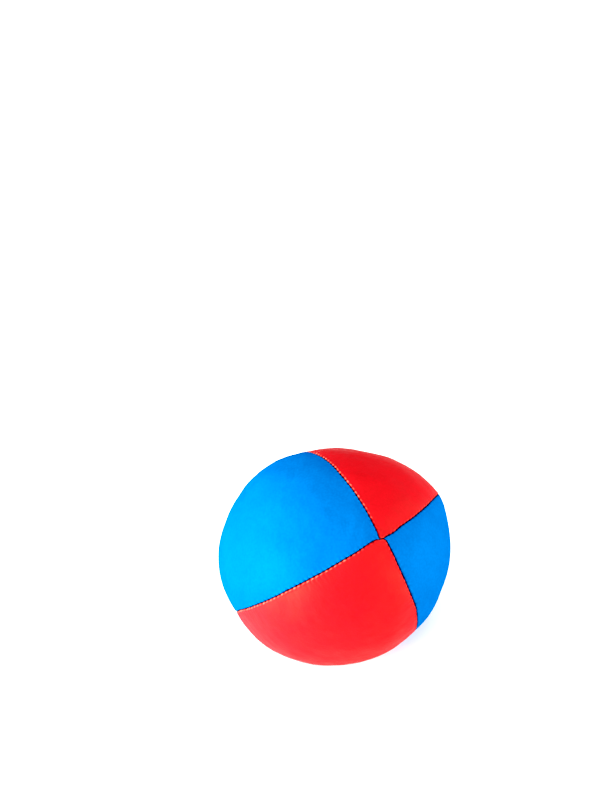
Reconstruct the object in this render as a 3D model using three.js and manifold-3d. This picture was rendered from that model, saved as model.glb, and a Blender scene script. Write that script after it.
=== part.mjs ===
// A stuffed juggling ball: four lune-shaped leatherette panels, sewn pole to
// pole inside out, turned, filled with millet and closed by hand.
// Millimetres, +Z up. The ball lies at rest: its lowest panel is pressed flat
// on the plane z = 0, and the origin is the centre of that flat patch.
import * as THREE from 'three';
import { mergeVertices } from 'three/addons/utils/BufferGeometryUtils.js';
import Module from 'manifold-3d';

// ---------------------------------------------------------------- dimensions
const MEAN_RADIUS = 33.6;        // of the stuffed ball
const REST_PATCH_RADIUS = 8.0;   // flat patch that the millet settles on
const LEATHER = 1.0;             // thickness of the leatherette
const SEAM_GAP = 0.3;            // between two panels sewn together
const EDGE_ROLL = 1.0;           // radius of the turned edge at a seam
const ALLOWANCE = 4.5;           // seam allowance, turned straight in
const ALLOWANCE_TIP = 1.9;       // trimmed allowance at the tips
const TIP_COLATITUDE = 2.4;      // degrees from the pole where a panel ends
const THREAD = 0.5;              // thread diameter
const THREAD_SIDE = 1.72;        // thread to seam plane, on the wrong side
const THREAD_DEPTH = 1.6;        // thread below the outer surface
const THREAD_START = 8;          // degrees from the pole
const GAP_START = 108;           // filling gap on seam 2, in colatitude
const GAP_END = 168;
const HAND_STITCH_DEPTH = 0.12;  // hand-sewn thread below the outer surface
const FILL_DEPTH = 1.5;          // filling below the outer surface
const FILL_SLOT = [2.3, 2.85];   // half-widths of the slot round an allowance
const TACK_RADIUS = 0.95;        // small thread knot at each pole
const TACK_STEM = 0.5;
const TACK_LENGTH = 4.0;

// Attitude at rest: the polar axis leans to the viewer, and seam 2 leaves the
// front pole along SEAM_2_DIR.
const SEAM_2_DIR = new THREE.Vector3(0.78240, 0.62135, 0.04221);
const POLE_DIR = new THREE.Vector3(0.39894, -0.55209, 0.73215);
// The filling has slid, so the rear pole isn't opposite the front one: it is
// moved by this much of the radius, along and across SEAM_2_DIR.
const REAR_POLE_SHIFT = [0.3155, -0.0132];

// Shape: a sphere, sagged under its own weight, slightly square across the
// poles because each panel is cut from flat sheet, with a low uneven swell.
const SAG = 0.0947;
const SQUARE = 0.0249;
const CORNER = [0.0275, -0.0152, -0.0251, -0.0087];
const CORNER_WIDTH = 13;         // degrees
const SWELL = [                  // degree, order, size
  [2, -2, 0.0044], [2, -1, -0.0087], [2, 0, 0.0045], [2, 1, -0.0111], [2, 2, 0.0324],
  [3, -3, 0.0072], [3, -2, 0.0006], [3, -1, -0.004], [3, 0, 0.0003], [3, 1, -0.0055],
  [3, 2, 0.0125], [3, 3, -0.0184],
  [4, -4, 0.0031], [4, -3, -0.0011], [4, -2, 0.0025], [4, -1, 0.0045], [4, 0, -0.0059],
  [4, 1, 0.0058], [4, 2, -0.0033], [4, 3, -0.0151], [4, 4, 0.0102],
  [5, -5, -0.0059], [5, -4, 0.0027], [5, -3, -0.0026], [5, -2, 0.0016], [5, -1, 0.0015],
  [5, 0, -0.002], [5, 1, 0.0027], [5, 2, -0.0028], [5, 3, -0.0006], [5, 4, 0.0053],
  [5, 5, -0.0047],
];
// Seam k starts at longitude 90 k degrees and wanders by a cosine series in
// colatitude, in degrees; order: seams 2, 1, 4, 3.
const SEAM_DRIFT = [
  [0.74, 0.59, 0.06, -0.68, -1.4],
  [-3.7, -1.52, 0.85, 0.06, 0.36],
  [-0.12, 0.03, -0.91, 0.34, -0.6],
  [2.98, 1.29, -1.55, -0.61, 1.15],
];

// ---------------------------------------------------------------- the surface
// A point of the surface is named by (theta, phi), its colatitude from the
// front pole and its longitude, before the rear pole is moved.
const rad = THREE.MathUtils.degToRad;
const P = POLE_DIR.clone().normalize();
const X = SEAM_2_DIR.clone().addScaledVector(P, -SEAM_2_DIR.dot(P)).normalize();
const Y = new THREE.Vector3().crossVectors(P, X);

const shifted = (b) => {
  const s = (1 - b.z) / 2;
  return new THREE.Vector3(b.x + s * REAR_POLE_SHIFT[0], b.y + s * REAR_POLE_SHIFT[1], b.z);
};
// Unit vector in the ball's own axes (seam 2, across, pole).
const ownDirection = (theta, phi) =>
  shifted(new THREE.Vector3(Math.sin(theta) * Math.cos(phi), Math.sin(theta) * Math.sin(phi), Math.cos(theta))).normalize();
const direction = (theta, phi) => {
  const d = ownDirection(theta, phi);
  return new THREE.Vector3().addScaledVector(X, d.x).addScaledVector(Y, d.y).addScaledVector(P, d.z);
};
// The (theta, phi) of a direction in the table's axes.
function anglesOf(world) {
  const d = new THREE.Vector3(world.dot(X), world.dot(Y), world.dot(P));
  let b = d.clone();
  for (let i = 0; i < 12; i++) {
    const q = shifted(b);
    b = d.clone().multiplyScalar(q.length()).sub(q.sub(b)).normalize();
  }
  return [Math.acos(THREE.MathUtils.clamp(b.z, -1, 1)), Math.atan2(b.y, b.x)];
}

const factorial = (n) => (n < 2 ? 1 : n * factorial(n - 1));
function legendre(l, m, x) {
  let pmm = 1;
  for (let i = 1; i <= m; i++) pmm *= -(2 * i - 1) * Math.sqrt(Math.max(0, 1 - x * x));
  if (l === m) return pmm;
  let p1 = x * (2 * m + 1) * pmm;
  for (let ll = m + 2; ll <= l; ll++) {
    [pmm, p1] = [p1, ((2 * ll - 1) * x * p1 - (ll + m - 1) * pmm) / (ll - m)];
  }
  return p1;
}
function swell(own) {
  const phi = Math.atan2(own.y, own.x);
  let sum = 0;
  for (const [l, order, size] of SWELL) {
    const m = Math.abs(order);
    const k = Math.sqrt(((2 * l + 1) / (4 * Math.PI)) * (factorial(l - m) / factorial(l + m)));
    sum += size * k * legendre(l, m, own.z) * (order >= 0 ? Math.cos(m * phi) : Math.sin(m * phi));
  }
  return sum;
}
function seamLongitude(k, theta) {
  const drift = SEAM_DRIFT[((k % 4) + 4) % 4].reduce((sum, c, n) => sum + c * Math.cos(n * theta), 0);
  return rad(90 * k + drift);
}
function radius(theta, phi) {
  const tau = 2 * Math.PI;
  const mod = (v) => ((v % tau) + tau) % tau;
  const sin2 = Math.sin(theta) ** 2;
  let f = 1 + swell(ownDirection(theta, phi));
  f -= SAG * (direction(theta, phi).z ** 2 - 1 / 3);
  const at = mod(phi - seamLongitude(0, theta));
  let u = 0;
  for (let k = 0; k < 4; k++) {
    const a = seamLongitude(k, theta) - seamLongitude(0, theta);
    const b = k === 3 ? tau : seamLongitude(k + 1, theta) - seamLongitude(0, theta);
    if (at >= a && at < b) u = (at - a) / (b - a);
    const away = Math.abs(mod(phi - seamLongitude(k, theta) + Math.PI) - Math.PI) * Math.sin(theta);
    f += CORNER[k] * Math.exp(-((away / rad(CORNER_WIDTH)) ** 1.3)) * sin2;
  }
  f += SQUARE * (1 / Math.cos(((u - 0.5) * Math.PI) / 2) - 1.122) * sin2;
  return MEAN_RADIUS * f;
}

// The centre stands so high that the sagged surface meets z = 0 in a circle of
// the patch radius.
let CENTRE_HEIGHT = 0;
for (let i = 0; i < 24; i++) {
  const a = (i * Math.PI) / 12;
  const lean = (tilt) => new THREE.Vector3(Math.sin(tilt) * Math.cos(a), Math.sin(tilt) * Math.sin(a), -Math.cos(tilt));
  let tilt = 0.2;
  for (let n = 0; n < 40; n++) {
    tilt *= REST_PATCH_RADIUS / (radius(...anglesOf(lean(tilt))) * Math.sin(tilt));
  }
  CENTRE_HEIGHT += (radius(...anglesOf(lean(tilt))) * Math.cos(tilt)) / 24;
}
const point = (theta, phi, depth = 0) =>
  direction(theta, phi)
    .multiplyScalar(radius(theta, phi) - depth)
    .add(new THREE.Vector3(0, 0, CENTRE_HEIGHT));

// ---------------------------------------------------------------- mesh helpers
function solid(vertices, triangles) {
  const geometry = new THREE.BufferGeometry();
  geometry.setAttribute('position', new THREE.Float32BufferAttribute(vertices.flatMap((v) => [v.x, v.y, v.z]), 3));
  geometry.setIndex(triangles.flat());
  geometry.computeVertexNormals();
  return geometry;
}
// Joins closed sections of equal length into one solid, with flat ends.
function loft(sections) {
  const n = sections[0].length;
  const vertices = sections.flat();
  const triangles = [];
  for (let i = 0; i + 1 < sections.length; i++) {
    for (let j = 0; j < n; j++) {
      const a = i * n + j, b = i * n + ((j + 1) % n), c = a + n, d = b + n;
      triangles.push([a, d, b], [a, c, d]);
    }
  }
  return { vertices, triangles, n };
}

// ---------------------------------------------------------------- panels
const STATIONS = 30;
const COLUMNS = 7;
const wasm = await Module();
wasm.setup();

function panelGeometry(k) {
  const sections = [];
  for (let i = 0; i <= STATIONS; i++) {
    const theta = rad(TIP_COLATITUDE + ((180 - 2 * TIP_COLATITUDE) * i) / STATIONS);
    const left = seamLongitude(k, theta);
    const right = seamLongitude(k + 1, theta);
    const mid = (left + right) / 2;
    const perMm = 1 / (radius(theta, mid) * Math.sin(theta));
    const half = (right - left) / 2 / perMm - SEAM_GAP / 2;
    const fromTip = radius(theta, mid) * Math.min(theta, Math.PI - theta);
    const allowance = THREE.MathUtils.lerp(ALLOWANCE_TIP, ALLOWANCE, Math.min(1, fromTip / 14));
    const roll = Math.min(EDGE_ROLL, half * 0.6);
    const inner = Math.max(half - LEATHER, 0.14);
    // Half a section, from the allowance's free edge to the panel's middle,
    // as [distance from the middle, depth].
    const outside = [[half, allowance], [half, roll]];
    for (const a of [30, 60, 90]) {
      outside.push([half - roll * (1 - Math.cos(rad(a))), roll * (1 - Math.sin(rad(a)))]);
    }
    const face = half - roll;
    const section = [];
    const add = (x, depth) => section.push(point(theta, mid + x * perMm, depth));
    const wall = LEATHER + (roll < EDGE_ROLL ? (EDGE_ROLL - roll) * 0.2 : 0);
    for (const [x, depth] of outside) add(-x, depth);
    for (let c = 1; c < COLUMNS; c++) add(-face + (2 * face * c) / COLUMNS, 0);
    for (const [x, depth] of [...outside].reverse()) add(x, depth);
    add(inner, allowance);
    for (let c = 0; c <= COLUMNS; c++) add(inner - (2 * inner * c) / COLUMNS, wall);
    add(-inner, allowance);
    // The wrong side stays one leather thickness above the table.
    const firstInside = outside.length * 2 + COLUMNS - 1;
    section.forEach((v, n) => {
      if (n >= firstInside && v.z < LEATHER) v.z = LEATHER;
    });
    sections.push(section);
  }
  const { vertices, triangles, n } = loft(sections);
  // Flat ends, closed across the channel.
  const cap = (base, flip) => {
    const outer = n - COLUMNS - 3;   // points 0..outer run round the outside
    const insideAt = (s) => base + outer + 1 + s;
    const innerCount = n - outer - 1;
    const ring = [];
    // Strip between the outside run (from 0 to outer) and the inside run (reversed).
    let a = 0, b = innerCount - 1;
    while (a < outer || b > 0) {
      const stepOuter = b === 0 || (a < outer && a / outer <= 1 - b / (innerCount - 1));
      if (stepOuter) { ring.push([base + a, base + a + 1, insideAt(b)]); a++; }
      else { ring.push([base + a, insideAt(b - 1), insideAt(b)]); b--; }
    }
    for (const t of ring) triangles.push(flip ? t.reverse() : t);
  };
  cap(0, false);
  cap((sections.length - 1) * n, true);
  return solid(vertices, triangles);
}

function toManifold(geometry) {
  const g = geometry.clone();
  g.deleteAttribute('normal');
  const merged = mergeVertices(g, 1e-4);
  return new wasm.Manifold(new wasm.Mesh({
    numProp: 3,
    vertProperties: Float32Array.from(merged.attributes.position.array),
    triVerts: Uint32Array.from(merged.index.array),
  }));
}
function fromManifold(manifold) {
  const { vertProperties, triVerts } = manifold.getMesh();
  const geometry = new THREE.BufferGeometry();
  geometry.setAttribute('position', new THREE.BufferAttribute(new Float32Array(vertProperties), 3));
  geometry.setIndex(Array.from(triVerts));
  geometry.computeVertexNormals();
  return geometry;
}
// The panel that lies on the table is cut flat there.
function flattened(geometry) {
  const below = new THREE.BoxGeometry(60, 60, 20).translate(0, 0, -10);
  below.deleteAttribute('uv');
  return fromManifold(toManifold(geometry).subtract(toManifold(below)));
}

// ---------------------------------------------------------------- threads
// A thread runs along seam k, `side` mm to one side of the seam plane.
function threadGeometry(k, side, depth, from, to, steps) {
  const points = [];
  for (let i = 0; i <= steps; i++) {
    const theta = rad(from + ((to - from) * i) / steps);
    const seam = seamLongitude(k, theta);
    const perMm = 1 / (radius(theta, seam) * Math.sin(theta));
    const v = point(theta, seam + side * perMm, depth);
    points.push(v);
  }
  const section = new THREE.Shape();
  for (let i = 0; i < 8; i++) {
    const a = (i * Math.PI) / 4;
    const [x, y] = [(Math.cos(a) * THREAD) / 2, (Math.sin(a) * THREAD) / 2];
    if (i === 0) section.moveTo(x, y);
    else section.lineTo(x, y);
  }
  section.closePath();
  return new THREE.ExtrudeGeometry(section, {
    steps,
    extrudePath: new THREE.CatmullRomCurve3(points),
    bevelEnabled: false,
  });
}

// ---------------------------------------------------------------- filling
function fillingGeometry() {
  const rows = 28;
  const perPanel = 9;
  const vertices = [];
  const triangles = [];
  const depthAt = (s) =>
    THREE.MathUtils.mapLinear(
      THREE.MathUtils.clamp(s, FILL_SLOT[0], FILL_SLOT[1]),
      FILL_SLOT[0], FILL_SLOT[1], ALLOWANCE + 0.5, FILL_DEPTH,
    );
  const settle = (v) => {
    if (v.z < FILL_DEPTH) v.z = FILL_DEPTH;
    return v;
  };
  vertices.push(point(0, 0, ALLOWANCE + 0.5));
  for (let i = 1; i < rows; i++) {
    const theta = (Math.PI * i) / rows;
    for (let k = 0; k < 4; k++) {
      const left = seamLongitude(k, theta);
      const right = seamLongitude(k + 1, theta);
      const perMm = 1 / (radius(theta, (left + right) / 2) * Math.sin(theta));
      const width = (right - left) / perMm;
      const f = [Math.min(FILL_SLOT[0] / width, 0.16), Math.min(FILL_SLOT[1] / width, 0.24)];
      const at = [0, f[0], f[1]];
      for (let c = 1; c <= perPanel - 5; c++) at.push(f[1] + ((1 - 2 * f[1]) * c) / (perPanel - 4));
      at.push(1 - f[1], 1 - f[0]);
      for (const u of at) {
        const s = Math.min(u, 1 - u) * width;
        vertices.push(settle(point(theta, left + u * (right - left), depthAt(s))));
      }
    }
  }
  vertices.push(point(Math.PI, 0, ALLOWANCE + 0.5));
  const n = (vertices.length - 2) / (rows - 1);
  const last = vertices.length - 1;
  for (let j = 0; j < n; j++) {
    const next = (j + 1) % n;
    triangles.push([0, 1 + j, 1 + next]);
    triangles.push([last, last - n + next, last - n + j]);
    for (let i = 0; i + 2 < rows; i++) {
      const a = 1 + i * n + j, b = 1 + i * n + next, c = a + n, d = b + n;
      triangles.push([a, c, d], [a, d, b]);
    }
  }
  return solid(vertices, triangles);
}

// ---------------------------------------------------------------- pole tacks
function tackGeometry() {
  const profile = [
    [0, -TACK_LENGTH], [TACK_STEM, -TACK_LENGTH], [TACK_STEM, -1.5], [TACK_RADIUS, -1.15],
    [TACK_RADIUS, -0.7], [TACK_RADIUS * 0.6, -0.42], [0, -0.36],
  ].map(([x, y]) => new THREE.Vector2(x, y));
  return new THREE.LatheGeometry(profile, 12).rotateX(Math.PI / 2);
}

// ---------------------------------------------------------------- assembly
const leatherette = (color) => new THREE.MeshStandardMaterial({ color, roughness: 0.55, metalness: 0 });
const blue = leatherette(0x0a96ea);
const red = leatherette(0xee1230);
const threadMaterial = new THREE.MeshStandardMaterial({ color: 0x14161f, roughness: 0.8, metalness: 0 });
const millet = new THREE.MeshStandardMaterial({ color: 0xd9b65c, roughness: 0.75, metalness: 0 });

const ball = new THREE.Group();
function add(parent, name, geometry, material) {
  const mesh = new THREE.Mesh(geometry, material);
  mesh.name = name;
  parent.add(mesh);
  return mesh;
}

const cover = new THREE.Group();
ball.add(cover);
add(cover, 'red_panel_top', panelGeometry(0), red);
add(cover, 'blue_panel_left', panelGeometry(1), blue);
add(cover, 'red_panel_bottom', flattened(panelGeometry(2)), red);
add(cover, 'blue_panel_right', panelGeometry(3), blue);

const sewing = new THREE.Group();
ball.add(sewing);
[[0, 2], [1, 1], [2, 4], [3, 3]].forEach(([k, name]) => {
  const end = k === 0 ? GAP_START - 2 : 180 - THREAD_START;
  const steps = k === 0 ? 18 : 28;
  add(sewing, `seam_${name}_needle_thread`, threadGeometry(k, THREAD_SIDE, THREAD_DEPTH, THREAD_START, end, steps), threadMaterial);
  add(sewing, `seam_${name}_bobbin_thread`, threadGeometry(k, -THREAD_SIDE, THREAD_DEPTH, THREAD_START, end, steps), threadMaterial);
});
add(sewing, 'closing_stitch_thread', threadGeometry(0, 0, HAND_STITCH_DEPTH, GAP_START, GAP_END, 14), threadMaterial);
for (const [name, theta] of [['front_pole_tack', 0], ['rear_pole_tack', Math.PI]]) {
  const tack = add(sewing, name, tackGeometry(), threadMaterial);
  tack.position.copy(point(theta, 0));
  tack.quaternion.setFromUnitVectors(new THREE.Vector3(0, 0, 1), direction(theta, 0));
}

add(ball, 'millet_filling', fillingGeometry(), millet);

export default ball;
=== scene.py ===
# A stuffed leatherette juggling ball: four sewn panels, their lockstitch and
# hand-sewn threads, the knots at the poles and the millet inside.
import math

import bpy
import numpy as np
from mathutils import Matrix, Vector, kdtree


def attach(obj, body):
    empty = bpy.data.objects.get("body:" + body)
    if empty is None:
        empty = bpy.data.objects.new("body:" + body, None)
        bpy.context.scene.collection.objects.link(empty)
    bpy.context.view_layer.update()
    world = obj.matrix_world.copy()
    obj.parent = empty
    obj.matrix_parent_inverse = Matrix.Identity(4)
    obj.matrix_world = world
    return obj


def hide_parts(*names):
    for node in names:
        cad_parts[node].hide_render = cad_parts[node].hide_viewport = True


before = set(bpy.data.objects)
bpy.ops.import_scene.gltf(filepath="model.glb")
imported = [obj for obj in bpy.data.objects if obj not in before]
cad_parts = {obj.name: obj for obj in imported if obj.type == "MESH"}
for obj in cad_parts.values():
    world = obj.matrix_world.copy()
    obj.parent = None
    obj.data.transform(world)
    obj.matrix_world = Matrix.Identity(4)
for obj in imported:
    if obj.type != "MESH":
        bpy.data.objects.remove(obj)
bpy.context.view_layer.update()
MM = 0.001

# ------------------------------------------------------------------ the shape
# The same surface as the CAD panels: colatitude theta from the front pole and
# longitude phi, in millimetres, with the finer stitches and creases added.
MEAN_RADIUS = 33.6
REST_PATCH_RADIUS = 8.0
LEATHER = 1.0
ALLOWANCE = 4.5
GAP_START, GAP_END = 108.0, 168.0
SEAM_2_DIR = (0.78240, 0.62135, 0.04221)
POLE_DIR = (0.39894, -0.55209, 0.73215)
REAR_POLE_SHIFT = (0.3155, -0.0132)
SAG = 0.0947
SQUARE = 0.0249
CORNER = (0.0275, -0.0152, -0.0251, -0.0087)
CORNER_WIDTH = 13
SWELL = [
    (2, -2, 0.0044), (2, -1, -0.0087), (2, 0, 0.0045), (2, 1, -0.0111), (2, 2, 0.0324),
    (3, -3, 0.0072), (3, -2, 0.0006), (3, -1, -0.004), (3, 0, 0.0003), (3, 1, -0.0055),
    (3, 2, 0.0125), (3, 3, -0.0184),
    (4, -4, 0.0031), (4, -3, -0.0011), (4, -2, 0.0025), (4, -1, 0.0045), (4, 0, -0.0059),
    (4, 1, 0.0058), (4, 2, -0.0033), (4, 3, -0.0151), (4, 4, 0.0102),
    (5, -5, -0.0059), (5, -4, 0.0027), (5, -3, -0.0026), (5, -2, 0.0016), (5, -1, 0.0015),
    (5, 0, -0.002), (5, 1, 0.0027), (5, 2, -0.0028), (5, 3, -0.0006), (5, 4, 0.0053),
    (5, 5, -0.0047),
]
SEAM_DRIFT = [          # seams 2, 1, 4, 3: cosine series in colatitude, degrees
    (0.74, 0.59, 0.06, -0.68, -1.4),
    (-3.7, -1.52, 0.85, 0.06, 0.36),
    (-0.12, 0.03, -0.91, 0.34, -0.6),
    (2.98, 1.29, -1.55, -0.61, 1.15),
]
BULGES = [              # direction from the centre, height in mm, reach in degrees
    ((-0.500, -0.557, -0.663), 0.42, 12.0),
    ((0.866, -0.321, -0.383), -0.26, 8.0),
    ((-1.000, 0.000, 0.000), 0.20, 7.0),
    ((-0.866, 0.321, 0.383), -0.18, 7.0),
    ((-0.766, 0.413, 0.492), 0.20, 5.0),
    ((1.000, 0.000, 0.000), 0.14, 9.0),
]
MACHINE_PITCH = 1.55
HAND_PITCH = 2.5

def unit(v):
    v = np.asarray(v, float)
    return v / np.linalg.norm(v, axis=-1, keepdims=True)

P = unit(POLE_DIR)
X = unit(np.array(SEAM_2_DIR) - np.dot(SEAM_2_DIR, P) * P)
Y = np.cross(P, X)
AXES = np.stack([X, Y, P])          # rows: own axes in the row frame
SHIFT = np.array([REAR_POLE_SHIFT[0], REAR_POLE_SHIFT[1], 0.0])


def own_direction(theta, phi):
    b = np.stack([np.sin(theta) * np.cos(phi), np.sin(theta) * np.sin(phi), np.cos(theta) + 0 * phi], -1)
    return unit(b + ((1 - b[..., 2:3]) / 2) * SHIFT)


def angles_of(world):
    d = np.asarray(world, float) @ AXES.T
    b = d.copy()
    for _ in range(12):
        s = ((1 - b[..., 2:3]) / 2) * SHIFT
        b = unit(d * np.linalg.norm(b + s, axis=-1, keepdims=True) - s)
    return np.arccos(np.clip(b[..., 2], -1, 1)), np.arctan2(b[..., 1], b[..., 0])


def legendre(l, m, x):
    pmm = np.ones_like(x)
    for i in range(1, m + 1):
        pmm = pmm * -(2 * i - 1) * np.sqrt(np.maximum(0, 1 - x * x))
    if l == m:
        return pmm
    p1 = x * (2 * m + 1) * pmm
    for ll in range(m + 2, l + 1):
        pmm, p1 = p1, ((2 * ll - 1) * x * p1 - (ll + m - 1) * pmm) / (ll - m)
    return p1


def swell(own):
    phi = np.arctan2(own[..., 1], own[..., 0])
    total = np.zeros(phi.shape)
    for l, order, size in SWELL:
        m = abs(order)
        k = math.sqrt((2 * l + 1) / (4 * math.pi) * math.factorial(l - m) / math.factorial(l + m))
        total += size * k * legendre(l, m, own[..., 2]) * (np.cos(m * phi) if order >= 0 else np.sin(m * phi))
    return total


def seam_longitude(k, theta):
    c = SEAM_DRIFT[k % 4]
    return np.radians(90.0 * k + sum(c[n] * np.cos(n * theta) for n in range(len(c))))


def radius(theta, phi):
    theta, phi = np.broadcast_arrays(np.asarray(theta, float), np.asarray(phi, float))
    tau = 2 * math.pi
    sin2 = np.sin(theta) ** 2
    own = own_direction(theta, phi)
    f = 1 + swell(own) - SAG * ((own @ AXES[:, 2]) ** 2 - 1 / 3)
    first = seam_longitude(0, theta)
    at = np.mod(phi - first, tau)
    u = np.zeros(phi.shape)
    for k in range(4):
        a = seam_longitude(k, theta) - first
        b = tau if k == 3 else seam_longitude(k + 1, theta) - first
        u = np.where((at >= a) & (at < b), (at - a) / (b - a), u)
        away = np.abs(np.mod(phi - seam_longitude(k, theta) + math.pi, tau) - math.pi) * np.sin(theta)
        f = f + CORNER[k] * np.exp(-((away / math.radians(CORNER_WIDTH)) ** 1.3)) * sin2
    f = f + SQUARE * (1 / np.cos((u - 0.5) * math.pi / 2) - 1.122) * sin2
    world = own @ AXES
    for direction, height, reach in BULGES:
        off = 1 - world @ unit(direction)
        f = f + height / MEAN_RADIUS * np.exp(-off / math.radians(reach) ** 2)
    return MEAN_RADIUS * f


def centre_height():
    a = np.arange(24) * math.pi / 12
    tilt = np.full(24, 0.2)
    for _ in range(40):
        d = np.stack([np.sin(tilt) * np.cos(a), np.sin(tilt) * np.sin(a), -np.cos(tilt)], -1)
        tilt = tilt * REST_PATCH_RADIUS / (radius(*angles_of(d)) * np.sin(tilt))
    return float(np.mean(radius(*angles_of(d)) * np.cos(tilt)))


CENTRE = np.array([0.0, 0.0, centre_height()])


def smooth_surface(theta, phi):
    """Point of the unstitched surface, and its outward normal, in mm."""
    e = 1e-4

    def at(t, p):
        return (own_direction(t, p) @ AXES) * radius(t, p)[..., None]

    p0 = at(theta, phi)
    st = np.maximum(np.sin(theta), 1e-3)
    a = at(theta + e, phi) - at(theta - e, phi)
    b = (at(theta, phi + e / st) - at(theta, phi - e / st))
    n = unit(np.cross(a, b))
    return p0 + CENTRE, n


# ------------------------------------------------------------------ camera
camera = bpy.data.objects.new("camera", bpy.data.cameras.new("camera"))
camera.data.lens = 100
camera.data.sensor_width = 36
camera.data.clip_start, camera.data.clip_end = 0.01, 50
camera.location = Vector(CENTRE * MM) + Vector((-0.010377, -0.482075, 0.465205))
camera.rotation_euler = (math.radians(50), 0, 0)
bpy.context.scene.collection.objects.link(camera)
bpy.context.scene.camera = camera


# ------------------------------------------------------------------ helpers
def soft_field(points, low, high, seed, count=56):
    """A smooth random field of unit strength, with wavelengths low..high mm."""
    rng = np.random.default_rng(seed)
    k = unit(rng.normal(size=(count, 3))) * (2 * math.pi / rng.uniform(low, high, (count, 1)))
    phase = rng.uniform(0, 2 * math.pi, count)
    out = np.zeros(points.shape[:-1])
    for i in range(count):
        out += np.sin(points @ k[i] + phase[i])
    return out * math.sqrt(2.0 / count)


def line_field(s, low, high, seed, count=40):
    rng = np.random.default_rng(seed)
    out = np.zeros(s.shape)
    for i in range(count):
        out += np.sin(s * (2 * math.pi / rng.uniform(low, high)) + rng.uniform(0, 2 * math.pi))
    return out * math.sqrt(2.0 / count)


def settle(points, gap=0.0):
    """Rests on the table: nothing goes lower than gap, and it rounds off softly there."""
    z = points[..., 2] - gap
    points[..., 2] = gap + 0.5 * (z + np.sqrt(z * z + 0.12 ** 2))
    return points


def mesh_object(name, points_mm, quads, smooth=True, caps=()):
    """A mesh piece from points in mm and an array of quads, plus polygons as lists."""
    me = bpy.data.meshes.new(name)
    pts = np.asarray(points_mm, float).reshape(-1, 3) * MM
    quads = np.asarray(quads, np.int32).reshape(-1, 4)
    loops = [quads.ravel()]
    sizes = [np.full(len(quads), 4, np.int32)]
    for c in caps:
        loops.append(np.asarray(c, np.int32))
        sizes.append(np.array([len(c)], np.int32))
    loops, sizes = np.concatenate(loops), np.concatenate(sizes)
    me.vertices.add(len(pts))
    me.vertices.foreach_set("co", pts.astype(np.float32).ravel())
    me.loops.add(len(loops))
    me.loops.foreach_set("vertex_index", loops)
    me.polygons.add(len(sizes))
    me.polygons.foreach_set("loop_start", np.concatenate([[0], np.cumsum(sizes)[:-1]]).astype(np.int32))
    me.polygons.foreach_set("use_smooth", np.full(len(sizes), smooth))
    me.update(calc_edges=True)
    me.validate()
    ob = bpy.data.objects.new(name, me)
    bpy.context.scene.collection.objects.link(ob)
    return ob


def grid_quads(rows, cols, wrap=True, base=0, flip=False):
    i = np.arange(rows - 1)[:, None]
    j = np.arange(cols if wrap else cols - 1)[None, :]
    a = base + i * cols + j
    b = base + i * cols + (j + 1) % cols
    q = np.stack([a, b, b + cols, a + cols], -1).reshape(-1, 4)
    return q[:, ::-1] if flip else q


def attribute(ob, name, values):
    a = ob.data.attributes.new(name, "FLOAT", "POINT")
    a.data.foreach_set("value", np.asarray(values, np.float32).ravel())


# ------------------------------------------------------------------ seams
TABLE = np.linspace(1e-3, math.pi - 1e-3, 6001)


# A painted highlight on the folded edges beside each seam: its strength near the front pole, and how much more from 13
# mm away; strongest beside seams 1 and 4, which face the key light on the left.
PAINTED_EDGE_HIGHLIGHT = ((0.10, 0.15), (0.05, 0.95), (0.05, 0.75), (0.10, 0.10))

# How far each seam wanders sideways from its smooth line, in mm, every 3 mm
# beginning 1.5 mm from the front pole: towards higher longitude is positive.
WANDER = (
    (-0.20, -0.48, 0.06, 0.02, -0.04, -0.05, -0.05, -0.14, -0.06, -0.05, -0.06),
    (0.15, 0.02, -0.16, -0.26, -0.27, -0.31, -0.22, -0.16, -0.12, -0.28, -0.32, -0.33, -0.31),
    (-0.42, -0.38, -0.06, 0.08, 0.04, 0.14, 0.13, 0.10, 0.00, 0.01, -0.07, 0.00, 0.11, 0.08, 0.07, -0.02, -0.06, -0.22, -0.34, -0.44),
    (1.03, 0.76, 0.42, 0.12, 0.08, 0.04, 0.14, 0.27, 0.56, 0.37, 0.22, 0.08),
)


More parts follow.
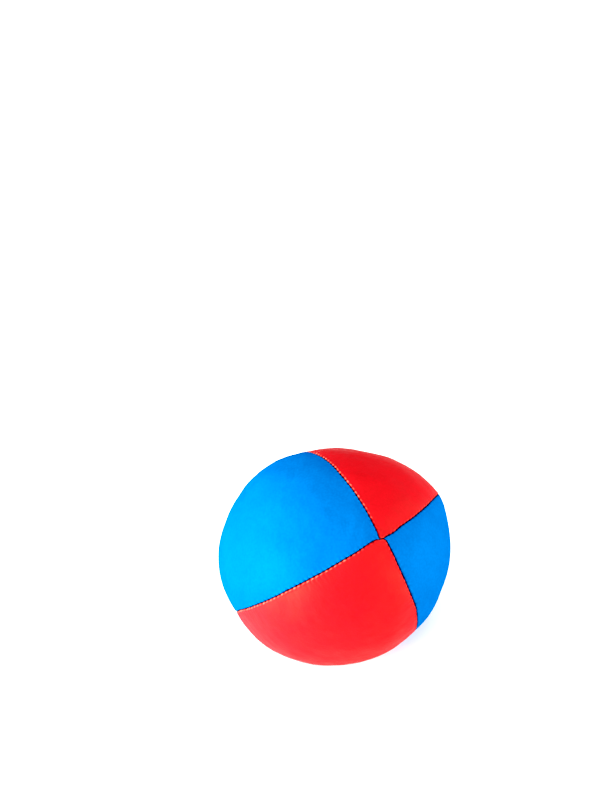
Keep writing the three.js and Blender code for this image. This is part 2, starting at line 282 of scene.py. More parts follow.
class Seam:
    """Seam k: its line on the ball, its length and where its stitches are."""

    def __init__(self, k):
        self.k = k
        pts, _ = smooth_surface(TABLE, seam_longitude(k, TABLE))
        self.s = np.concatenate([[0], np.cumsum(np.linalg.norm(np.diff(pts, axis=0), axis=1))])
        self.length = self.s[-1]
        rng = np.random.default_rng(70 + k)
        end = self.at(math.radians(GAP_START)) if k == 0 else self.length - 1.3
        n = int(round((end - 1.3) / MACHINE_PITCH))
        self.machine = np.linspace(1.3, end, n + 1)
        self.machine[1:-1] += rng.normal(0, 0.035, n - 1)
        self.hand = np.array([])
        if k == 0:
            last = self.at(math.radians(176.0))
            m = int(round((last - end) / HAND_PITCH))
            self.hand = np.linspace(end, last, m + 1)[1:] + rng.normal(0, 0.12, m)
        self.stitches = np.concatenate([self.machine, self.hand])

    def at(self, theta):
        return np.interp(theta, TABLE, self.s)

    def wander(self, s):
        """Sideways offset at s, a smooth line through this seam's offsets."""
        w = np.array(WANDER[self.k] + (0.0,))
        w[-1] = w[-2] / 2
        knots = np.concatenate([1.5 + 3.0 * np.arange(len(w)), [3.0 * len(w) + 9.0]])
        fine = np.arange(0.0, knots[-1] + 6.0, 0.1)
        y = np.interp(fine, knots, np.concatenate([w, [0.0]]))
        for _ in range(2):
            y = np.convolve(np.pad(y, 12, mode="edge"), np.ones(25) / 25, "valid")
        return np.interp(np.asarray(s), fine, y * (1 - np.exp(-((fine / 0.9) ** 2))), right=0.0)

    def theta(self, s):
        return np.interp(s, self.s, TABLE)

    def nearest(self, s):
        """Distance along the seam to the nearest stitch, and whether it is hand-sewn."""
        i = np.clip(np.searchsorted(self.stitches, s), 1, len(self.stitches) - 1)
        lower = np.abs(s - self.stitches[i - 1]) < np.abs(s - self.stitches[i])
        j = np.where(lower, i - 1, i)
        return np.abs(s - self.stitches[j]), (j >= len(self.machine)).astype(float)

    def frame(self, s):
        """Point, tangent, lateral (to higher longitude) and outward normal at s, in mm."""
        th = self.theta(s)
        p, n = smooth_surface(th, seam_longitude(self.k, th))
        q, _ = smooth_surface(self.theta(s + 0.05), seam_longitude(self.k, self.theta(s + 0.05)))
        r, _ = smooth_surface(self.theta(s - 0.05), seam_longitude(self.k, self.theta(s - 0.05)))
        t = unit(q - r)
        b = unit(np.cross(n, t))
        return p, t, b, n


SEAMS = [Seam(k) for k in range(4)]

# The front tips don't quite meet in a point: the blue ones stop short of each
# other and the red ones touch between them.
TIP_REACH = 1.3
TIP_1 = np.array([-0.582, -0.035, 0.0]) @ AXES      # where seams 1 and 4 end, mm
TIP_2 = np.array([0.591, -0.322, 0.0]) @ AXES       # where seams 2 and 3 end
TIP_OF_SEAM = (TIP_2, TIP_1, TIP_1, TIP_2)


def tip_weight(theta):
    return np.exp(-((MEAN_RADIUS * theta / TIP_REACH) ** 2))


# ------------------------------------------------------------------ panels
STATIONS = 760
GAP = 0.06                 # between two panels at a seam
ROLL = 0.52                # radius of the turned edge
NEAR = np.array([0, .025, .065, .12, .19, .27, .36, .47, .6, .76, .96, 1.2, 1.5, 1.9, 2.4, 3.1, 4.0, 5.0])
FLANGE = np.array([1.0, 0.72, 0.45, 0.22, 0.06])     # share of the allowance below the roll
INNER = 18
MIDDLE = 42


def panel(k, name):
    left, right = SEAMS[k], SEAMS[(k + 1) % 4]
    th0 = 0.09 / MEAN_RADIUS
    theta = np.linspace(th0, math.pi - th0, STATIONS)
    pl = seam_longitude(k, theta)
    pr = seam_longitude(k + 1, theta)
    e = 1e-4

    def metric(phi):
        a = own_direction(theta, phi + e) * radius(theta, phi + e)[:, None]
        b = own_direction(theta, phi - e) * radius(theta, phi - e)[:, None]
        return np.linalg.norm(a - b, axis=1) / (2 * e)

    ml, mr = metric(pl), metric(pr)
    half = 0.25 * (pr - pl) * (ml + mr) - GAP / 2
    half = np.maximum(half, 0.012)
    scale = np.minimum(1.0, half / 6.5)
    near = NEAR[None, :] * scale[:, None]
    phi_l = pl[:, None] + (GAP / 2 + near) / ml[:, None]
    phi_r = pr[:, None] - (GAP / 2 + near) / mr[:, None]
    over = phi_l[:, -1] > phi_r[:, -1]
    mid = 0.5 * (phi_l[:, -1] + phi_r[:, -1])
    phi_l = np.where(over[:, None], pl[:, None] + (mid - pl)[:, None] * (near / near[:, -1:]) * 0.9, phi_l)
    phi_r = np.where(over[:, None], pr[:, None] - (pr - mid)[:, None] * (near / near[:, -1:]) * 0.9, phi_r)
    t = np.linspace(0, 1, MIDDLE + 2)[None, 1:-1]
    phi_m = phi_l[:, -1:] * (1 - t) + phi_r[:, -1:] * t
    phi = np.concatenate([phi_l, phi_m, phi_r[:, ::-1]], 1)
    xl = (phi - pl[:, None]) * ml[:, None] - GAP / 2
    xr = (pr[:, None] - phi) * mr[:, None] - GAP / 2
    xl, xr = np.maximum(xl, 0), np.maximum(xr, 0)

    # the turned edge
    rho = np.minimum(ROLL, 0.75 * half + 0.14)[:, None]

    def roll(x):
        c = np.clip(rho - x, 0, None)
        return rho - np.sqrt(np.maximum(rho * rho - c * c, 0))

    # stitches: a pit at each, a bead between two, and creases running off it
    def sewing(seam, x, seed, sgn):
        s = seam.at(theta)
        ds, hand = seam.nearest(s)
        w = np.where(hand > 0, 0.42, 0.27)
        pit = np.exp(-((ds / w) ** 2))[:, None]
        bead = np.exp(-(((ds - np.where(hand > 0, 1.2, MACHINE_PITCH / 2)) / 0.42) ** 2))[:, None]
        s2 = s[:, None] + sgn * 0.18 * x
        patch = (0.45 + 0.55 * np.clip(line_field(s, 9, 30, seed + 3), -0.6, 1.6))[:, None]
        crease = line_field(s2, 1.0, 3.4, seed) * (1 - np.exp(-x / 0.5)) * np.exp(-x / 1.5) * patch
        rays = np.exp(-((seam.nearest(s)[0][:, None] / 0.34) ** 2)) * np.exp(-x / 1.5)
        depth = 0.14 * pit * np.exp(-x / 0.5) + 0.03 * rays - 0.06 * bead * np.exp(-(((x - 0.40) / 0.40) ** 2))
        depth = depth + 0.030 * crease
        depth = depth + 0.16 * np.exp(-x / 2.2)
        depth = depth + 0.10 * hand[:, None] * np.exp(-x / 1.2) * (0.4 + pit)
        retreat = (0.06 * pit - 0.02) * np.exp(-x / 0.4) + 0.03 * line_field(s, 1.2, 6.0, seed + 7)[:, None] * np.exp(-x / 1.0)
        fade = np.minimum(1.0, half / 2.2)[:, None]
        # painted highlight: a lighter colour on the bead shoulders between the stitches, stronger where the key light
        # falls
        painted_highlight = PAINTED_EDGE_HIGHLIGHT[seam.k][0] + PAINTED_EDGE_HIGHLIGHT[seam.k][1] * np.clip((s - 4.0) / 9.0, 0, 1)
        painted_highlight = painted_highlight * (0.75 + 0.35 * np.clip(line_field(s, 2, 9, seed + 5), -1, 1))
        painted_highlight = np.exp(-(((x - 0.30) / 0.19) ** 2)) * (0.25 + 0.75 * bead) * painted_highlight[:, None]
        return depth * fade, np.maximum(retreat, -GAP * 0.4) * fade, painted_highlight * (1 - 0.8 * pit)

    dl, al, wl = sewing(left, xl, 11 + 10 * k, 1)
    dr, ar, wr = sewing(right, xr, 16 + 10 * k, -1)
    depth = roll(xl) + roll(xr) + dl + dr
    red = k in (0, 2)
    if red:
        x_tip = MEAN_RADIUS * theta[:, None] - 0.09
        c = np.clip(0.26 - x_tip, 0, None)
        depth = depth + 0.26 - np.sqrt(np.maximum(0.26 ** 2 - c * c, 0))
    phi_out = phi + al / ml[:, None] - ar / mr[:, None]

    th_grid = np.broadcast_to(theta[:, None], phi.shape)
    direction = own_direction(th_grid, phi_out) @ AXES
    base = direction * radius(th_grid, phi)[..., None]
    # broad hollows and swells, and the grains pressing through
    soft = 0.10 * soft_field(base, 9, 22, 5) + 0.020 * soft_field(base, 2.6, 5.0, 6) + 0.006 * soft_field(base, 1.0, 1.9, 8)
    near_seam = np.minimum(xl, xr)
    depth = depth + soft * (1 - np.exp(-near_seam / 1.2))
    outer = base - direction * depth[..., None]

    # the wrong side and the seam allowances
    from_tip = MEAN_RADIUS * np.minimum(theta, math.pi - theta)
    allowance = 1.9 + (ALLOWANCE - 1.9) * np.minimum(1, from_tip / 14)
    inset = np.minimum(LEATHER, 0.72 * half)
    edge_l, edge_r = depth[:, 0], depth[:, -1]

    def below(p, d):
        dirn = own_direction(theta, p) @ AXES
        return dirn * (radius(theta, p) - d)[:, None]

    flange_l = [below(phi_out[:, 0], edge_l + f * (allowance - edge_l)) for f in FLANGE]
    flange_r = [below(phi_out[:, -1], edge_r + f * (allowance - edge_r)) for f in FLANGE[::-1]]
    in_l, in_r = pl + (GAP / 2 + inset) / ml, pr - (GAP / 2 + inset) / mr
    bad = in_l > in_r
    in_mid = 0.5 * (in_l + in_r)
    in_l, in_r = np.where(bad, in_mid - 0.02 * (pr - pl), in_l), np.where(bad, in_mid + 0.02 * (pr - pl), in_r)
    wall = LEATHER + 0.30 * np.exp(-half / 2.0) + 0.12
    wrong = [below(in_r, allowance), below(in_r, wall + 0.5 * (allowance - wall))]
    for t in np.linspace(0, 1, INNER):
        wrong.append(below(in_r + (in_l - in_r) * t, wall))
    wrong += [below(in_l, wall + 0.5 * (allowance - wall)), below(in_l, allowance)]
    ring = np.concatenate([np.stack(flange_l, 1), outer, np.stack(flange_r, 1), np.stack(wrong, 1)], 1)

    # the blunt red tips and the blue tips that stop short
    a, b = TIP_OF_SEAM[k], TIP_OF_SEAM[(k + 1) % 4]
    u = np.clip((phi - pl[:, None]) / (pr - pl)[:, None], 0, 1)
    u = np.concatenate([np.zeros((STATIONS, len(FLANGE))), u, np.ones((STATIONS, len(FLANGE))),
                        np.ones((STATIONS, 2)), np.broadcast_to(np.linspace(1, 0, INNER), (STATIONS, INNER)),
                        np.zeros((STATIONS, 2))], 1)
    ring = ring + tip_weight(theta)[:, None, None] * (a + (b - a) * u[..., None])
    for seam, share in ((left, 1 - u), (right, u)):
        s = seam.at(theta)
        ring = ring + (share * seam.wander(s)[:, None])[..., None] * seam.frame(s)[2][:, None]
    ring = ring + CENTRE
    n_out = len(FLANGE) * 2 + phi.shape[1]
    ring[:, :n_out] = settle(ring[:, :n_out])
    ring[:, n_out:, 2] = np.maximum(ring[:, n_out:, 2], LEATHER)

    cols = ring.shape[1]
    quads = grid_quads(STATIONS, cols, flip=False)
    caps = [list(range(cols))[::-1], [(STATIONS - 1) * cols + i for i in range(cols)]]
    ob = mesh_object(name, ring.reshape(-1, 3), quads, caps=caps)
    edge = np.zeros((STATIONS, cols))
    edge[:, len(FLANGE):len(FLANGE) + phi.shape[1]] = near_seam
    attribute(ob, "edge_mm", edge)
    # the painted highlight, as a vertex attribute on the outer surface
    painted_highlight = np.zeros((STATIONS, cols))
    painted_highlight[:, len(FLANGE):len(FLANGE) + phi.shape[1]] = np.clip(wl + wr, 0, 1)
    attribute(ob, "painted_highlight", painted_highlight)
    # the dark backing on the inner wall; on the seam allowances, 0.6 of it as painted shade in the seam gap
    side = np.zeros((STATIONS, cols))
    side[:, n_out:] = 1.0
    side[:, :len(FLANGE)] = 0.6
    side[:, n_out - len(FLANGE):n_out] = 0.6
    attribute(ob, "backing_and_seam_shade", side)
    return ob


panels = {
    "red_panel_top": panel(0, "leatherette_red_top"),
    "blue_panel_left": panel(1, "leatherette_blue_left"),
    "red_panel_bottom": panel(2, "leatherette_red_bottom"),
    "blue_panel_right": panel(3, "leatherette_blue_right"),
}

# ------------------------------------------------------------------ threads
def catmull(points, per):
    """A smooth line through points, with per steps to each."""
    p = np.asarray(points, float)
    p = np.concatenate([[2 * p[0] - p[1]], p, [2 * p[-1] - p[-2]]])
    t = np.linspace(0, 1, per, endpoint=False)[None, :, None]
    a, b, c, d = p[:-3, None], p[1:-2, None], p[2:-1, None], p[3:, None]
    out = 0.5 * (2 * b + (c - a) * t + (2 * a - 5 * b + 4 * c - d) * t ** 2 + (3 * b - a - 3 * c + d) * t ** 3)
    return np.concatenate([out.reshape(-1, 3), p[-2:-1]])


def tube(path, diameter, sides=8, twist=1.1, plies=3):
    """Points and quads of a twisted plied thread along path; the ends are closed."""
    path = np.asarray(path, float)
    step = np.linalg.norm(np.diff(path, axis=0), axis=1)
    keep = np.concatenate([[True], step > 1e-4])
    path = path[keep]
    s = np.concatenate([[0], np.cumsum(np.linalg.norm(np.diff(path, axis=0), axis=1))])
    t = unit(np.gradient(path, axis=0))
    n = np.cross(t[0], [0.3, 0.2, 0.93])
    n /= np.linalg.norm(n)
    normals = [n]
    for i in range(1, len(t)):
        n = normals[-1] - np.dot(normals[-1], t[i]) * t[i]
        normals.append(n / np.linalg.norm(n))
    n = np.array(normals)
    b = np.cross(t, n)
    a = np.arange(sides) * 2 * math.pi / sides
    r = diameter / 2 * (1 + 0.10 * np.cos(plies * a[None, :] - s[:, None] * 2 * math.pi / twist))
    r[0] *= 0.55
    r[-1] *= 0.55
    pts = path[:, None] + r[..., None] * (np.cos(a)[None, :, None] * n[:, None] + np.sin(a)[None, :, None] * b[:, None])
    return pts.reshape(-1, 3), len(path), sides


def threads(name, paths, diameter, sides=8):
    pts, quads, caps, base = [], [], [], 0
    for p in paths:
        q, rows, cols = tube(p, diameter, sides)
        pts.append(q)
        quads.append(grid_quads(rows, cols, base=base))
        caps.append([base + i for i in range(cols)][::-1])
        caps.append([base + (rows - 1) * cols + i for i in range(cols)])
        base += rows * cols
    return mesh_object(name, np.concatenate(pts), np.concatenate(quads), caps=caps)


THREAD = 0.30


def place(seam, s, lateral, depth):
    """Points beside seam: lateral to higher longitude, depth below the surface, in mm."""
    p, t, b, n = seam.frame(np.asarray(s, float))
    a0 = TIP_OF_SEAM[seam.k]
    out = p + b * (np.asarray(lateral) + seam.wander(s))[:, None] - n * np.asarray(depth)[:, None]
    out = out + tip_weight(seam.theta(np.asarray(s, float)))[:, None] * a0
    return settle(out, 0.05)


# each thread, over one stitch: along it in shares of the pitch, sideways, depth
NEEDLE = [(-.50, 1.32, 1.05), (-.24, 1.26, 1.00), (-.17, .80, .92), (-.13, .25, .72), (-.075, -.08, .64),
          (0.0, -.16, .62), (.075, -.08, .64), (.13, .25, .72), (.17, .80, .92), (.24, 1.26, 1.00)]
BOBBIN = [(-.50, 1.32, 1.05), (-.20, 1.26, .98), (-.06, .80, .84), (0.0, .30, .50), (0.0, .08, .37),
          (0.0, -.14, .42), (0.0, -.26, .66), (0.0, -.10, .93), (0.0, .24, .98), (.06, .80, 1.0), (.20, 1.26, 1.02)]


def run_of_stitches(seam, pattern, side):
    at, pitch = seam.machine, np.gradient(seam.machine)
    s, lat, dep = [], [], []
    for i in range(len(at)):
        for a, b, d in pattern:
            s.append(at[i] + a * pitch[i]), lat.append(side * b), dep.append(d)
    s, lat, dep = np.clip(s, 0.3, seam.length - 0.3), np.array(lat), np.array(dep)
    return catmull(place(seam, s, lat, dep), 3)


def closing_stitch():
    """A doubled hand thread: rungs straight across, with runs inside each fold."""
    seam = SEAMS[0]
    at = np.concatenate([[seam.machine[-1] - 1.2], seam.hand])
    s, lat, dep = [], [], []
    side = 1
    for i in range(len(at) - 1):
        for a, b, d in ((0, -.95, .85), (.02, -.50, .46), (.05, 0, .24), (.08, .50, .46), (.12, .95, .85), (.5, 1.02, 1.0), (.92, .95, .85)):
            s.append(at[i] + a * (at[i + 1] - at[i])), lat.append(side * b), dep.append(d)
        side = -side
    return catmull(place(seam, np.clip(s, 0.4, seam.length - 0.5), np.array(lat), np.array(dep)), 4)


def knot_path(centre, out, along, size, turns, seed):
    """A small overhand knot: a trefoil-like wind with two short tails, tucked in."""
    rng = np.random.default_rng(seed)
    side = unit(np.cross(out, along))
    a = np.linspace(0, 2 * math.pi * turns, 26 * turns)
    r = size * (0.62 + 0.30 * np.cos(1.5 * a))
    wob = rng.normal(0, 0.02 * size, (len(a), 3))
    pts = centre + (np.cos(a) * r)[:, None] * along + (np.sin(a) * r)[:, None] * side + (np.sin(1.5 * a) * size * 0.42)[:, None] * out + wob
    head = centre + along * size * 1.9 - out * size * 1.9
    tail = centre - along * size * 2.1 - out * size * 1.7
    return catmull(np.concatenate([[head], pts, [tail]])[::2], 3)


def pole_tack(front):
    theta = 0.0 if front else math.pi
    eps = 1e-3
    p, _ = smooth_surface(np.array([eps if front else math.pi - eps]), np.array([0.0]))
    d = unit(p[0] - CENTRE)
    a = unit(TIP_1 - TIP_2) if front else unit(np.cross(d, [0.2, 0.1, 1.0]))
    a = unit(a - np.dot(a, d) * d)
    b = np.cross(d, a)
    if front:
        j1, j2 = p[0] + TIP_1, p[0] + TIP_2
        paths = [
            catmull([j1 + a * 1.3 + b * .5 - d * 1.3, j1 + a * .35 + b * .22 - d * .42, j1 - a * .1 - b * .12 - d * .30,
                     p[0] - b * .30 - d * .50, j2 - b * .1 - d * .62, j2 - a * .8 - d * 1.4], 8),
            catmull([j1 + a * 1.3 - b * .5 - d * 1.3, j1 + a * .35 - b * .22 - d * .45, j1 - a * .1 + b * .10 - d * .42,
                     p[0] + b * .26 - d * .62, j2 + b * .2 - d * .66, j2 - a * .8 + b * .3 - d * 1.4], 8),
            knot_path(j1 - d * .34 + a * 0.05, d, a, 0.27, 2, 5),
        ]
    else:
        c = p[0]
        paths = []
        for i, ang in enumerate((0.3, 1.35, 2.4)):
            u = math.cos(ang) * a + math.sin(ang) * b
            v = np.cross(d, u)
            paths.append(catmull([c - u * 1.5 - d * 1.5, c - u * .75 - d * (.42 - .05 * i) + v * .1, c - d * (.18 + .12 * i),
                                  c + u * .75 - d * (.42 - .05 * i) - v * .1, c + u * 1.5 - d * 1.5], 8))
        paths.append(knot_path(c - d * .16, d, a, 0.40, 2, 9))
    return paths


sewn = {}
for k, number in ((0, 2), (1, 1), (2, 4), (3, 3)):
    for word, pattern, side in (("needle", NEEDLE, 1), ("bobbin", BOBBIN, -1)):
        sewn[f"seam_{number}_{word}_thread"] = threads(
            f"sewn_seam_{number}_{word}", [run_of_stitches(SEAMS[k], pattern, side)], THREAD)
sewn["closing_stitch_thread"] = threads("hand_sewn_closing_stitch", [closing_stitch()], 0.46)
sewn["front_pole_tack"] = threads("front_tack_knot", pole_tack(True), 0.36)
sewn["rear_pole_tack"] = threads("rear_tack_knot", pole_tack(False), 0.42)


# ------------------------------------------------------------------ filling
def filling():
    """The millet, packed against the leatherette: a layer of round grains, closed."""
    rows, cols = 210, 400
    th = np.linspace(0.004, math.pi - 0.004, rows)
    ph = np.arange(cols) * 2 * math.pi / cols
    tt, pp = np.meshgrid(th, ph, indexing="ij")
    d = own_direction(tt, pp) @ AXES
    r = radius(tt, pp)
    near = np.full(tt.shape, 99.0)
    for k in range(4):
        away = np.abs(np.mod(pp - seam_longitude(k, tt) + math.pi, 2 * math.pi) - math.pi) * np.sin(tt) * MEAN_RADIUS
        near = np.minimum(near, away)
    to_pole = MEAN_RADIUS * np.minimum(tt, math.pi - tt)
    inset = 1.75 + 3.9 * np.exp(-((near / 2.1) ** 2)) + 1.2 * np.exp(-((to_pole / 5.0) ** 2))
    n = 3300
    i = np.arange(n) + 0.5
    z = 1 - 2 * i / n
    rng = np.random.default_rng(3)
    a = i * math.pi * (3 - math.sqrt(5)) + rng.normal(0, 0.006, n)
    seeds = np.stack([np.sqrt(1 - z * z) * np.cos(a), np.sqrt(1 - z * z) * np.sin(a), z], 1)
    seeds = unit(seeds + rng.normal(0, 0.008, seeds.shape))
    size = rng.uniform(0.92, 1.08, n)
    tree = kdtree.KDTree(n)
    for j, sd in enumerate(seeds):
        tree.insert(sd, j)
    tree.balance()
    flat = d.reshape(-1, 3)
    dist = np.empty(len(flat))
    for j, q in enumerate(flat):
        _, idx, e = tree.find(q)
        dist[j] = e * 32.0 / size[idx]
    dist = dist.reshape(tt.shape)
    dome = np.sqrt(np.maximum(1.08 ** 2 - np.minimum(dist, 1.02) ** 2, 0.02))
    pts = d * (r - inset - 1.08 + dome)[..., None] + CENTRE
    pts[..., 2] = np.maximum(pts[..., 2], 1.5)
    grid = pts.reshape(-1, 3)
    top = np.mean(pts[0], 0)
    caps = [list(range(cols)), [(rows - 1) * cols + c for c in range(cols)][::-1]]
    return mesh_object("millet_grains", grid, grid_quads(rows, cols, flip=True), caps=caps)


millet = filling()


def closed_and_outward(ob):
    """Turns a closed mesh's faces outward, by its enclosed volume."""
    me = ob.data
    me.calc_loop_triangles()
    v = np.empty(len(me.vertices) * 3)
    me.vertices.foreach_get("co", v)
    v = v.reshape(-1, 3) - v.reshape(-1, 3).mean(0)
    t = np.empty(len(me.loop_triangles) * 3, np.int32)
    me.loop_triangles.foreach_get("vertices", t)
    a, b, c = v[t.reshape(-1, 3).T]
    if np.einsum("ij,ij->i", a, np.cross(b, c)).sum() < 0:
        me.flip_normals()
    return ob


for piece in [*panels.values(), *sewn.values(), millet]:
    closed_and_outward(piece)

# ------------------------------------------------------------------ materials
RED = (0.46, 0.0035, 0.0245)
RED_PAINTED_HIGHLIGHT = (0.78, 0.20, 0.14)       # a lighter red painted on the seam beads: a painted highlight
BLUE = (0.003, 0.142, 0.400)
BLUE_PAINTED_HIGHLIGHT = (0.004, 0.22, 0.52)


class Nodes:
    def __init__(self, name):
        self.mat = bpy.data.materials.new(name)
        self.mat.use_nodes = True
        self.tree = self.mat.node_tree
        self.tree.nodes.clear()
        self.out = self.add("ShaderNodeOutputMaterial")

    def add(self, kind, **values):
        n = self.tree.nodes.new(kind)
        for key, v in values.items():
            if hasattr(n, key):
                setattr(n, key, v)
            else:
                n.inputs[key.replace("_", " ")].default_value = v
        return n

    def link(self, a, b):
        self.tree.links.new(a, b)


def leatherette(name, colour, highlight_colour, tint, gloss, lustre, roughness, groove_shade_mm, seed):
    """Soft coated cloth: a fine pebble grain, a faint nap, a painted highlight on the seam beads, and painted shade
    between the pebbles, in the seam grooves and on the seam allowances.
    """
    m = Nodes(name)
    co = m.add("ShaderNodeTexCoord").outputs["Object"]
    shift = m.add("ShaderNodeVectorMath", operation="ADD")
    shift.inputs[1].default_value = (seed * 0.31, seed * 0.17, seed * 0.05)
    m.link(co, shift.inputs[0])
    co = shift.outputs[0]

    warp = m.add("ShaderNodeTexNoise", Scale=900.0, Detail=2.0)
    m.link(co, warp.inputs["Vector"])
    ws = m.add("ShaderNodeVectorMath", operation="SCALE")
    ws.inputs["Scale"].default_value = 0.00045
    m.link(warp.outputs["Color"], ws.inputs[0])
    wa = m.add("ShaderNodeVectorMath", operation="ADD")
    m.link(co, wa.inputs[0]), m.link(ws.outputs[0], wa.inputs[1])
    pebble = m.add("ShaderNodeTexVoronoi", feature="SMOOTH_F1", Scale=1500.0, Smoothness=0.55)
    m.link(wa.outputs[0], pebble.inputs["Vector"])
    fine = m.add("ShaderNodeTexNoise", Scale=4200.0, Detail=3.0, Roughness=0.6)
    m.link(co, fine.inputs["Vector"])
    broad = m.add("ShaderNodeTexNoise", Scale=160.0, Detail=4.0, Roughness=0.55)
    m.link(co, broad.inputs["Vector"])

    b1 = m.add("ShaderNodeBump", Strength=0.24, Distance=0.00012)
    b1.invert = True
    m.link(pebble.outputs["Distance"], b1.inputs["Height"])
    b2 = m.add("ShaderNodeBump", Strength=0.15, Distance=0.00005)
    m.link(fine.outputs["Fac"], b2.inputs["Height"]), m.link(b1.outputs["Normal"], b2.inputs["Normal"])

    # colour: a slow mottle, with painted shade a touch deeper between the pebbles and much deeper right at the seam
    # edge
    edge = m.add("ShaderNodeAttribute", attribute_name="edge_mm")
    backing_and_shade = m.add("ShaderNodeAttribute", attribute_name="backing_and_seam_shade")
    mott = m.add("ShaderNodeMapRange", clamp=True)
    for key, v in (("From Min", 0.30), ("From Max", 0.70), ("To Min", 0.955), ("To Max", 1.035)):
        mott.inputs[key].default_value = v
    m.link(broad.outputs["Fac"], mott.inputs["Value"])
    # painted shade between the pebbles: up to 7% darker
    pit = m.add("ShaderNodeMapRange", clamp=True)
    for key, v in (("From Min", 0.25), ("From Max", 0.75), ("To Min", 1.01), ("To Max", 0.93)):
        pit.inputs[key].default_value = v
    m.link(pebble.outputs["Distance"], pit.inputs["Value"])
    # painted shade in the seam groove: down to 12% of the colour right at the edge
    painted_groove_shade = m.add("ShaderNodeMapRange", clamp=True, interpolation_type="SMOOTHSTEP")
    for key, v in (("From Min", 0.0), ("From Max", groove_shade_mm), ("To Min", 0.12), ("To Max", 1.0)):
        painted_groove_shade.inputs[key].default_value = v
    m.link(edge.outputs["Fac"], painted_groove_shade.inputs["Value"])
    p1 = m.add("ShaderNodeMath", operation="MULTIPLY")
    m.link(mott.outputs["Result"], p1.inputs[0]), m.link(pit.outputs["Result"], p1.inputs[1])
    p2 = m.add("ShaderNodeMath", operation="MULTIPLY")
    m.link(p1.outputs[0], p2.inputs[0]), m.link(painted_groove_shade.outputs["Result"], p2.inputs[1])
    # the painted highlight: the colour mixes towards a lighter one on the seam beads
    painted_highlight = m.add("ShaderNodeAttribute", attribute_name="painted_highlight")
    base = m.add("ShaderNodeMix", data_type="RGBA")
    base.inputs[6].default_value = (*colour, 1)
    base.inputs[7].default_value = (*highlight_colour, 1)
    m.link(painted_highlight.outputs["Fac"], base.inputs[0])
    tone = m.add("ShaderNodeVectorMath", operation="SCALE")
    m.link(base.outputs[2], tone.inputs[0])
    m.link(p2.outputs[0], tone.inputs["Scale"])
    # mixes in the dark backing colour: on the inner wall the backing, on the seam allowances painted shade in the seam
    # gap
    cloth = m.add("ShaderNodeMix", data_type="RGBA")
    cloth.inputs["A"].default_value = (0, 0, 0, 1)
    m.link(backing_and_shade.outputs["Fac"], cloth.inputs[0])
    m.link(tone.outputs[0], cloth.inputs[6])
    cloth.inputs[7].default_value = (0.055, 0.05, 0.06, 1)

    rough = m.add("ShaderNodeMapRange", clamp=True)
    for key, v in (("From Min", 0.3), ("From Max", 0.7), ("To Min", roughness - 0.05), ("To Max", roughness + 0.05)):
        rough.inputs[key].default_value = v
    m.link(broad.outputs["Fac"], rough.inputs["Value"])

    s = m.add("ShaderNodeBsdfPrincipled")
    m.link(cloth.outputs[2], s.inputs["Base Color"])
    m.link(rough.outputs["Result"], s.inputs["Roughness"])
    m.link(b2.outputs["Normal"], s.inputs["Normal"])
    s.inputs["Specular IOR Level"].default_value = gloss
    s.inputs["Specular Tint"].default_value = (*tint, 1)
    s.inputs["Metallic"].default_value = lustre
    m.link(s.outputs[0], m.out.inputs["Surface"])
    return m.mat


def thread_material():
    """Bonded polyester thread, navy to black, with its plies just visible."""
    m = Nodes("sewing_thread_navy")
    co = m.add("ShaderNodeTexCoord").outputs["Object"]
    n = m.add("ShaderNodeTexNoise", Scale=5200.0, Detail=3.0)
    m.link(co, n.inputs["Vector"])
    ramp = m.add("ShaderNodeValToRGB")
    ramp.color_ramp.elements[0].color = (0.004, 0.005, 0.012, 1)
    ramp.color_ramp.elements[1].color = (0.016, 0.018, 0.038, 1)
    m.link(n.outputs["Fac"], ramp.inputs["Fac"])
    b = m.add("ShaderNodeBump", Strength=0.4, Distance=0.00004)
    m.link(n.outputs["Fac"], b.inputs["Height"])
    s = m.add("ShaderNodeBsdfPrincipled", Roughness=0.55)
    s.inputs["Specular IOR Level"].default_value = 0.35
    m.link(ramp.outputs["Color"], s.inputs["Base Color"])
    m.link(b.outputs["Normal"], s.inputs["Normal"])
    m.link(s.outputs[0], m.out.inputs["Surface"])
    return m.mat


def millet_material():
    m = Nodes("millet_husk")
    co = m.add("ShaderNodeTexCoord").outputs["Object"]
    cell = m.add("ShaderNodeTexVoronoi", Scale=520.0)
    m.link(co, cell.inputs["Vector"])
    ramp = m.add("ShaderNodeValToRGB")
    ramp.color_ramp.elements[0].color = (0.56, 0.36, 0.11, 1)
    ramp.color_ramp.elements[1].color = (0.80, 0.60, 0.26, 1)
    sep = m.add("ShaderNodeSeparateColor")
    m.link(cell.outputs["Color"], sep.inputs[0])
    m.link(sep.outputs[0], ramp.inputs["Fac"])
    n = m.add("ShaderNodeTexNoise", Scale=2400.0, Detail=3.0)
    m.link(co, n.inputs["Vector"])
    b = m.add("ShaderNodeBump", Strength=0.25, Distance=0.0001)
    m.link(n.outputs["Fac"], b.inputs["Height"])
    s = m.add("ShaderNodeBsdfPrincipled", Roughness=0.42)
    m.link(ramp.outputs["Color"], s.inputs["Base Color"])
    m.link(b.outputs["Normal"], s.inputs["Normal"])
    m.link(s.outputs[0], m.out.inputs["Surface"])
    return m.mat


red = leatherette("leatherette_red", RED, RED_PAINTED_HIGHLIGHT, (1.0, 0.98, 0.42), 0.50, 0.0, 0.72, 0.11, 1)
blue = leatherette("leatherette_blue", BLUE, BLUE_PAINTED_HIGHLIGHT, (0.02, 0.25, 0.70), 0.0, 0.10, 0.55, 0.17, 2)
thread = thread_material()
for node, piece in panels.items():
    piece.data.materials.append(red if node.startswith("red") else blue)
    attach(piece, "root")
    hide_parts(node)
for node, piece in sewn.items():
    piece.data.materials.append(thread)
    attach(piece, "root")
    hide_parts(node)
millet.data.materials.append(millet_material())
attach(millet, "root")
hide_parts("millet_filling")

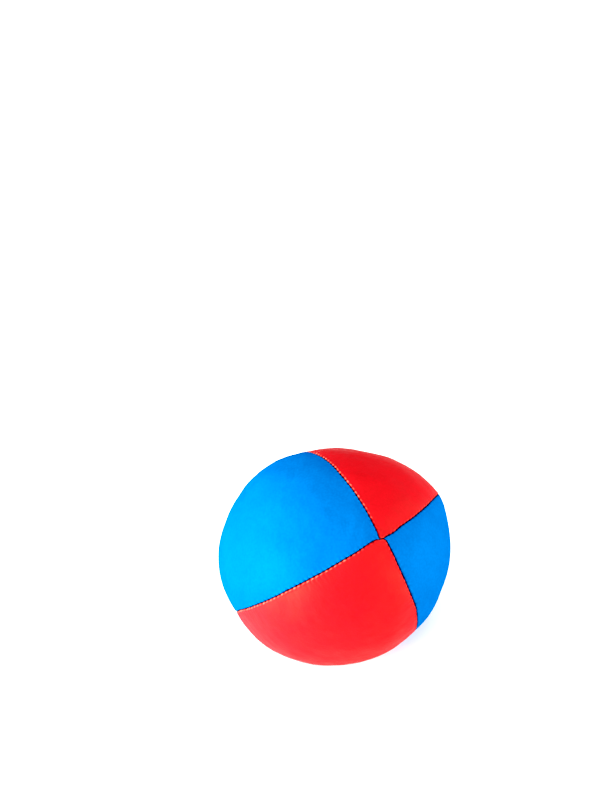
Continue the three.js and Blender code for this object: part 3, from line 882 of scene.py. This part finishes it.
# ------------------------------------------------------------------ stage
me = bpy.data.meshes.new("floor")
w = 3.0
me.from_pydata([(-w, -w, -5e-5), (w, -w, -5e-5), (w, w, -5e-5), (-w, w, -5e-5)], [], [(0, 1, 2, 3)])
floor = bpy.data.objects.new("floor", me)
bpy.context.scene.collection.objects.link(floor)
fm = Nodes("floor_white")
fs = fm.add("ShaderNodeBsdfPrincipled", Roughness=0.9)
fs.inputs["Base Color"].default_value = (0.86, 0.86, 0.86, 1)
fs.inputs["Specular IOR Level"].default_value = 0.1
fs.inputs["Emission Color"].default_value = (1, 1, 1, 1)          # a faint glow, so no shadow shows on it
fs.inputs["Emission Strength"].default_value = 0.22
fm.link(fs.outputs[0], fm.out.inputs["Surface"])
me.materials.append(fm.mat)

# a white surround that only the camera sees, past the lit part of the floor
bpy.ops.mesh.primitive_uv_sphere_add(segments=64, ring_count=32, radius=0.9)
surround = bpy.context.object
surround.name = "white_surround"
sm = Nodes("white_surround")
se = sm.add("ShaderNodeEmission", Strength=1.2)
sm.link(se.outputs[0], sm.out.inputs["Surface"])
surround.data.materials.append(sm.mat)
for kind in ("diffuse", "glossy", "transmission", "volume_scatter", "shadow"):
    setattr(surround, "visible_" + kind, False)

# soft studio light: two low discs from the left, weaker ones from the right
WORLD_LIGHT = 0.5
LIGHTS = [("key_left_low", -60, 12, 0.34, 22.8), ("rim_left_rear", -110, 30, 0.6, 9.7),
          ("top_front", 0, 70, 0.6, 7.2), ("fill_right_low", 80, 12, 0.34, 11.0),
          ("fill_right_rear", 115, 28, 0.6, 2.0)]
TOE = 0.16                 # a little print contrast in the darks
world = bpy.data.worlds.new("studio")
bpy.context.scene.world = world
world.use_nodes = True
world.node_tree.nodes["Background"].inputs["Color"].default_value = (1, 1, 1, 1)
world.node_tree.nodes["Background"].inputs["Strength"].default_value = WORLD_LIGHT


def area(name, direction, distance, size, strength):
    d = unit(direction)
    light = bpy.data.lights.new(name, "AREA")
    light.shape = "DISK"
    light.size = size
    light.energy = strength
    ob = bpy.data.objects.new(name, light)
    ob.location = Vector(CENTRE * MM) + Vector(d * distance)
    ob.rotation_euler = Vector(-d).to_track_quat("-Z", "Y").to_euler()
    bpy.context.scene.collection.objects.link(ob)
    return ob


def toward(azimuth, elevation):
    """A direction: azimuth 0 is the camera's side, 90 is +X."""
    a, e = math.radians(azimuth), math.radians(elevation)
    return math.sin(a) * math.cos(e), -math.cos(a) * math.cos(e), math.sin(e)


for name, azimuth, elevation, size, strength in LIGHTS:
    area(name, toward(azimuth, elevation), 1.0, size, strength).visible_camera = False

view = bpy.context.scene.view_settings
view.view_transform = "Standard"
view.use_curve_mapping = True
curve = view.curve_mapping.curves[3]
curve.points[0].location = (0.0, 0.0)
curve.points[1].location = (1.0, 1.0 / (1.0 + TOE * TOE))
for x in (0.02, 0.05, 0.08, 0.12, 0.17, 0.23, 0.3, 0.4, 0.55, 0.75):
    curve.points.new(x, x ** 3 / (x * x + TOE * TOE))
view.curve_mapping.extend = "EXTRAPOLATED"
view.curve_mapping.update()
